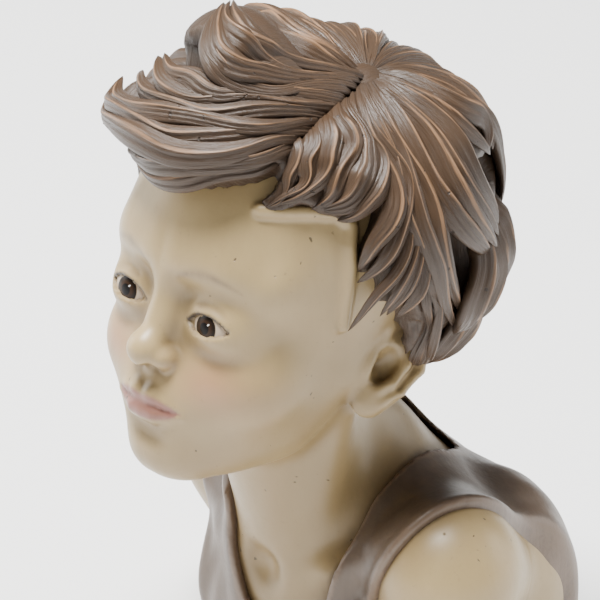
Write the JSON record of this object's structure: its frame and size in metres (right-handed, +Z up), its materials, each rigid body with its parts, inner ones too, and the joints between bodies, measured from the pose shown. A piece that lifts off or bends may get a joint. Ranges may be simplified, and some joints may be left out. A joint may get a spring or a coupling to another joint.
{
  "type": "boy bust",
  "caption": "Painted resin bust of a boy with windswept carved hair and a sleeveless vest, cut flat below the chest.",
  "frame": {"origin": "on the flat underside, under the middle of the bounding box", "axes": "+Z up, -Y the way the chest faces, +X to the boy's left"},
  "size_m": [0.0752, 0.0838, 0.1193],
  "materials": {
    "painted_resin": "satin paint: cream skin, bronze-brown hair, dark brown vest, brown wash in the recesses"
  },
  "bodies": {
    "root": {"boy_bust": "painted_resin"}
  },
  "joints": []
}
